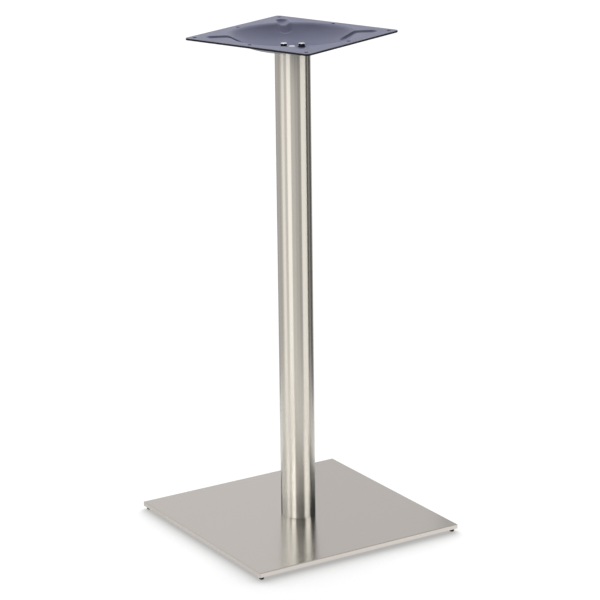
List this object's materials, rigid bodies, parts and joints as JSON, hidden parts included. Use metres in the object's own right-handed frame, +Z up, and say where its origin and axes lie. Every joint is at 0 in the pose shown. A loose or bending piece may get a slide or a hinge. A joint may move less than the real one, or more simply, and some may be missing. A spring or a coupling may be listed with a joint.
{
  "type": "pedestal table base",
  "caption": "Bar-height pedestal base: weighted square foot under a folded stainless cover, round brushed column and pressed steel plate that carries a table top",
  "frame": {"origin": "on the floor, on the column's axis, which is the middle of the square foot", "axes": "+Z is up; X and Y lie along the sides of the square foot; the top plate is turned 21 degrees about +Z from them"},
  "size_m": [0.5, 0.5, 1.08],
  "materials": {
    "brushed_stainless": "satin, brushed in one direction",
    "black_primer": "matte primer on rolled steel plate",
    "mild_steel": "bare turned steel",
    "zinc_plated_steel": "bright zinc plating",
    "slate_coating": "satin slate-blue powder coating",
    "black_rubber": "matte moulded rubber"
  },
  "bodies": {
    "root": {"base_cover": "brushed_stainless", "column_tube": "brushed_stainless", "ballast_plate": "black_primer", "column_foot_disc": "mild_steel", "column_head_disc": "mild_steel", "base_screws": "zinc_plated_steel", "top_bolts": "zinc_plated_steel", "top_washers": "zinc_plated_steel", "top_plate": "slate_coating", "foot_front_left": "black_rubber", "foot_front_right": "black_rubber", "foot_rear_left": "black_rubber", "foot_rear_right": "black_rubber"}
  },
  "joints": []
}
